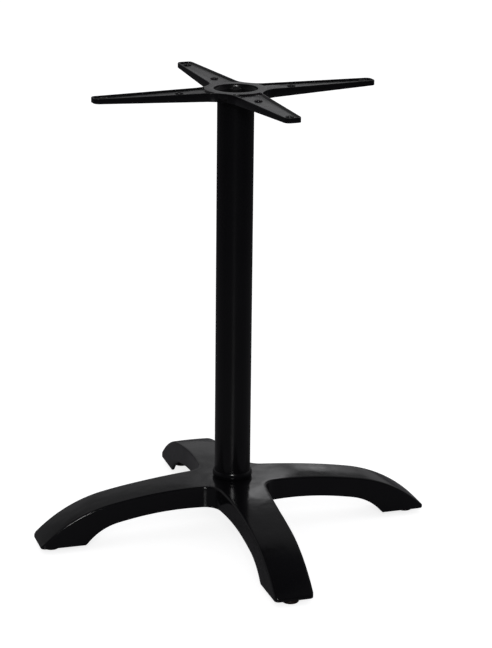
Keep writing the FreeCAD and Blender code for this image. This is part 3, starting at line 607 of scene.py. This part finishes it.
def hexagon_nut(low):
    """A hexagon whose corners are cut back by a cone at each end, with a chamfered bore."""
    high = low + NUT_HEIGHT
    angle = np.linspace(0.0, 2.0 * np.pi, 96, endpoint=False)
    flat = NUT_ACROSS / 2.0 / np.cos((angle + np.pi / 6.0) % (np.pi / 3.0) - np.pi / 6.0)
    face = NUT_ACROSS / 2.0 * 0.95
    fall = (flat - face) * math.tan(math.radians(30.0))
    one = np.ones_like(angle)
    loop = [(NUT_BORE * one, low + 0.6), (NUT_BORE + 0.6 * one, low), (face * one, low), (flat, low + fall),
            (flat, high - fall), (face * one, high), (NUT_BORE + 0.6 * one, high), (NUT_BORE * one, high - 0.6)]
    rings = [np.stack([r * np.cos(angle), r * np.sin(angle), z * one], -1) for r, z in loop]
    return Surface().grid(np.stack(rings, 1), close_rows=True, close_columns=True)


def flat_washer(low):
    """A punched ring: sharp on one side, a little rolled over on the other."""
    high = low + WASHER_THICKNESS
    section = [(WASHER_HOLE, low), (WASHER_RADIUS, low), (WASHER_RADIUS, high), (WASHER_HOLE, high)]
    return turned_round(Surface(), rounded_profile(section, [0.15, 0.2, 0.5, 0.4]))


def split_washer():
    """A ring of rounded square section that is cut through at one place."""
    half_gap = math.asin(SPRING_GAP / 2.0 / SPRING_RADIUS)
    turn = np.linspace(half_gap, 2.0 * np.pi - half_gap, 72)
    section = rounded_profile([(WASHER_HOLE, SPRING_LOW), (SPRING_RADIUS, SPRING_LOW), (SPRING_RADIUS, SPRING_HIGH),
                               (WASHER_HOLE, SPRING_HIGH)], [0.25] * 4, 3)
    ring = np.stack([section[None, :, 0] * np.cos(turn)[:, None], section[None, :, 0] * np.sin(turn)[:, None],
                     np.broadcast_to(section[:, 1], (len(turn), len(section)))], -1)
    middle = np.broadcast_to(ring.mean(1, keepdims=True), ring.shape)
    washer = Surface().grid(ring, close_columns=True)
    washer.grid(np.stack([ring[0], middle[0]], 0), close_columns=True, flip=True)
    return washer.grid(np.stack([ring[-1], middle[-1]], 0), close_columns=True)


for name, node, low in (("nut_top", "top_nut", 711.7), ("nut_bottom", "bottom_nut", 62.3)):
    dress(hexagon_nut(low).build(name, "base", node, sharp=25.0), black_finish)
for name, node, low in (("washer_top", "top_washer", 709.2), ("washer_bottom", "bottom_washer", 72.5)):
    dress(flat_washer(low).build(name, "base", node), black_finish)
spring = split_washer().build("spring_washer", "base", "bottom_spring_washer")
dress(spring, black_finish)


# Studio: a white floor that runs out of sight under a white surround. What the gloss sees is a
# darker room: grey walls with a few soft bright panes behind the base, a dull floor with a painted
# pool of light round the base, and one softbox.

CAMERA = {"azimuth": -17.612, "elevation": 17.360, "roll": 0.6415, "distance": 3.49135,
          "focal": 2222.89, "across": 0.019393, "height": 0.344456}
LONG_SIDE, SENSOR, FLOOR_REACH = 648.0, 36.0, 30.0


def towards(turn, rise):
    """The direction that a turn from the front, to the right, and a rise over the floor give."""
    return Vector((math.sin(turn) * math.cos(rise), -math.cos(turn) * math.cos(rise), math.sin(rise)))


azimuth, elevation, roll = (math.radians(CAMERA[key]) for key in ("azimuth", "elevation", "roll"))
back = towards(azimuth, elevation)
right = Vector((math.cos(azimuth), math.sin(azimuth), 0.0))
up = back.cross(right)
lens = bpy.data.cameras.new("camera")
lens.sensor_width, lens.lens = SENSOR, CAMERA["focal"] / LONG_SIDE * SENSOR
lens.clip_start, lens.clip_end = 0.1, 100.0
camera = bpy.data.objects.new("camera", lens)
bpy.context.scene.collection.objects.link(camera)
axes = Matrix((right * math.cos(roll) + up * math.sin(roll), up * math.cos(roll) - right * math.sin(roll), back))
camera.matrix_world = Matrix.Translation(
    right * CAMERA["across"] + Vector((0.0, 0.0, CAMERA["height"])) + back * CAMERA["distance"]
) @ axes.transposed().to_4x4()
bpy.context.scene.camera = camera
bpy.context.scene.view_settings.view_transform = "Standard"

floor_mesh = bpy.data.meshes.new("floor")
floor_mesh.from_pydata([(x * FLOOR_REACH, y * FLOOR_REACH, 0.0) for x, y in ((-1, -1), (1, -1), (1, 1), (-1, 1))],
                       [], [(0, 1, 2, 3)])
floor = bpy.data.objects.new("floor", floor_mesh)
bpy.context.scene.collection.objects.link(floor)
paper = Finish("floor_paper")
seen = paper.node("ShaderNodeLightPath")["Is Camera Ray"]
shaded = paper.node("ShaderNodeBsdfDiffuse", {}, {"Color": (0.45, 0.45, 0.45, 1.0)})["BSDF"]
white = paper.node("ShaderNodeEmission", {}, {"Color": (1.0, 1.0, 1.0, 1.0), "Strength": 0.8})["Emission"]
lit = paper.node("ShaderNodeAddShader", {}, {0: shaded, 1: white})["Shader"]
reach = paper.node("ShaderNodeVectorMath", {"operation": "LENGTH"}, {0: paper.place})["Value"]
# painted pool of light: the floor that the gloss sees is painted lighter near the base, as if the softbox lit it
# there, and darker further out
painted_light_pool = paper.ramp(reach * 0.4, (0.1, (0.1, 0.098, 0.104, 1.0)), (0.9, (0.028, 0.027, 0.031, 1.0)))
dull = paper.node("ShaderNodeBsdfDiffuse", {}, {"Color": painted_light_pool})["BSDF"]
sheen = paper.node("ShaderNodeBsdfAnisotropic", {}, {"Color": (0.085, 0.085, 0.085, 1.0), "Roughness": 0.25})["BSDF"]
dim = paper.node("ShaderNodeAddShader", {}, {0: dull, 1: sheen})["Shader"]
paper.node("ShaderNodeOutputMaterial", {}, {
    "Surface": paper.node("ShaderNodeMixShader", {}, {0: seen, 1: dim, 2: lit})["Shader"]})
dress(floor, paper.material)

world = bpy.data.worlds.new("surround")
world.use_nodes = True
bpy.context.scene.world = world


class Surround(Finish):
    """The world's nodes, built like a material's."""

    def __init__(self, tree):
        self.tree = tree
        self.tree.nodes.clear()
        self.place = self.node("ShaderNodeTexCoord")["Generated"]


sky = Surround(world.node_tree)
path = sky.node("ShaderNodeLightPath")
aim = sky.node("ShaderNodeSeparateXYZ", {}, {"Vector": sky.place})
height = aim["Z"]
# how far a direction points to the back, and to the right, of the base as it is photographed
behind = aim["X"] * -math.sin(azimuth) + aim["Y"] * math.cos(azimuth)
rightward = aim["X"] * math.cos(azimuth) + aim["Y"] * math.sin(azimuth)


def grey(*stops):
    """The stops of a ramp between greys."""
    return tuple((position, (value, value, value, 1.0)) for position, value in stops)


def glow(across, level, wide, tall):
    """A soft bright place behind the base: 1 in its middle, falling smoothly to 0 at its rim."""
    sideways = (rightward / behind - across) / wide
    upright = (height - level) / tall
    return sky.ramp(sideways * sideways + upright * upright, *grey((0.0, 1.0), (0.35, 0.5), (1.0, 0.0)))


wall = sky.ramp(height, *grey((0.0, 0.21), (0.2, 0.235), (0.38, 0.2), (0.445, 0.135), (0.55, 0.155), (0.76, 0.155),
                              (0.84, 0.14), (0.93, 0.026)))
far_left = sky.ramp(rightward / behind + 1.0, *grey((0.0, 0.9), (0.12, 0.4), (0.3, 0.6), (0.5, 1.0)))
turned_away = sky.ramp(behind * 0.5 + 0.5, *grey((0.0, 0.1), (0.25, 0.15), (0.48, 0.75), (0.62, 1.0)))
window = sky.ramp(behind, *grey((0.05, 0.0), (0.2, 1.0)))
panes = (glow(0.03, 0.438, 0.066, 0.096) * 1.25 + glow(0.042, 0.342, 0.045, 0.045) * 0.55
         + glow(0.1, 0.252, 0.038, 0.045) * 1.05 + glow(0.125, 0.225, 0.07, 0.06) * 0.25
         + glow(0.02, 0.205, 0.055, 0.065) * 0.27)
corner = glow(0.22, 0.27, 0.12, 0.11) * 0.13 + glow(0.115, 0.36, 0.07, 0.085) * 0.12
mirrored = wall * turned_away * far_left + window * (panes - corner)
ambient = sky.node("ShaderNodeBackground", {}, {"Color": (0.98, 0.98, 1.0, 1.0), "Strength": 0.62})["Background"]
gloss = sky.node("ShaderNodeBackground", {}, {"Color": (0.98, 0.98, 1.0, 1.0), "Strength": mirrored})["Background"]
plain = sky.node("ShaderNodeBackground", {}, {"Color": (1.0, 1.0, 1.0, 1.0), "Strength": 1.0})["Background"]
seen_gloss = sky.node("ShaderNodeMixShader", {}, {0: path["Is Glossy Ray"], 1: ambient, 2: gloss})["Shader"]
all_seen = sky.node("ShaderNodeMixShader", {}, {0: path["Is Camera Ray"], 1: seen_gloss, 2: plain})["Shader"]
sky.node("ShaderNodeOutputWorld", {}, {"Surface": all_seen})

SOFTBOX = {"aside": 0.5, "rise": 29.5, "away": 7.0, "wide": 1.32, "tall": 1.0, "radiance": 25.0}
facing = towards(azimuth + math.radians(SOFTBOX["aside"]), math.radians(SOFTBOX["rise"]))
light = bpy.data.lights.new("softbox", "AREA")
light.shape, light.size, light.size_y = "RECTANGLE", SOFTBOX["wide"], SOFTBOX["tall"]
light.energy = math.pi * SOFTBOX["wide"] * SOFTBOX["tall"] * SOFTBOX["radiance"]
softbox = bpy.data.objects.new("softbox", light)
bpy.context.scene.collection.objects.link(softbox)
turned = facing.to_track_quat("Z", "Y").to_matrix().to_4x4()
softbox.matrix_world = Matrix.Translation(facing * SOFTBOX["away"]) @ turned
softbox.visible_camera = False
